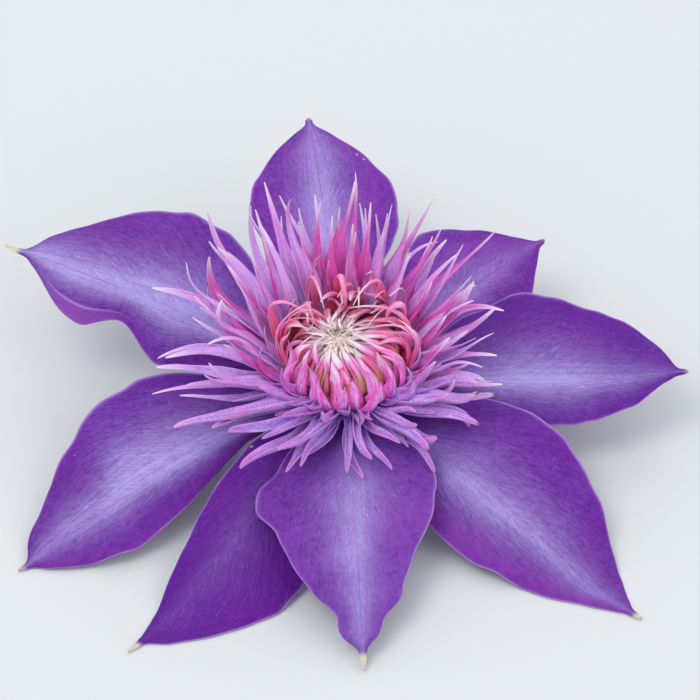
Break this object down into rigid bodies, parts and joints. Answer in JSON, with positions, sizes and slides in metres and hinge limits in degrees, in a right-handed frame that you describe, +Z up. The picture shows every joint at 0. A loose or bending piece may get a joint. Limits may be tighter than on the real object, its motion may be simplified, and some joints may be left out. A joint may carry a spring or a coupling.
{
  "type": "clematis flower",
  "caption": "Double clematis flower lying face up: broad pointed violet tepals, a dense tuft of narrow lilac and pink staminodes curving in over its middle, and a short stub of stalk.",
  "frame": {"origin": "under the middle of the flower's outline, on the surface that it lies on", "axes": "+Z up from that surface; the flower faces up and leans a little to -Y, the side that the picture was taken from; +X is to the picture's right"},
  "size_m": [0.1155, 0.1176, 0.0396],
  "materials": {
    "tepal": "soft satin petal, deep violet with a paler lavender bar along the middle and a thin pale rim",
    "stalk": "smooth matt green stalk tinged with brown",
    "outer_staminodes": "soft satin, lilac with magenta edges and whitish tips",
    "inner_staminodes": "soft satin, hot pink to coral with cream tips",
    "carpels": "matt khaki with silky hairs"
  },
  "bodies": {
    "root": {"tepal_right": "tepal", "tepal_back_right": "tepal", "tepal_back": "tepal", "tepal_back_left": "tepal", "tepal_left": "tepal", "tepal_front_left": "tepal", "tepal_front": "tepal", "tepal_front_right": "tepal", "stalk": "stalk", "outer_staminodes": "outer_staminodes", "inner_staminodes": "inner_staminodes", "carpels": "carpels"}
  },
  "joints": []
}
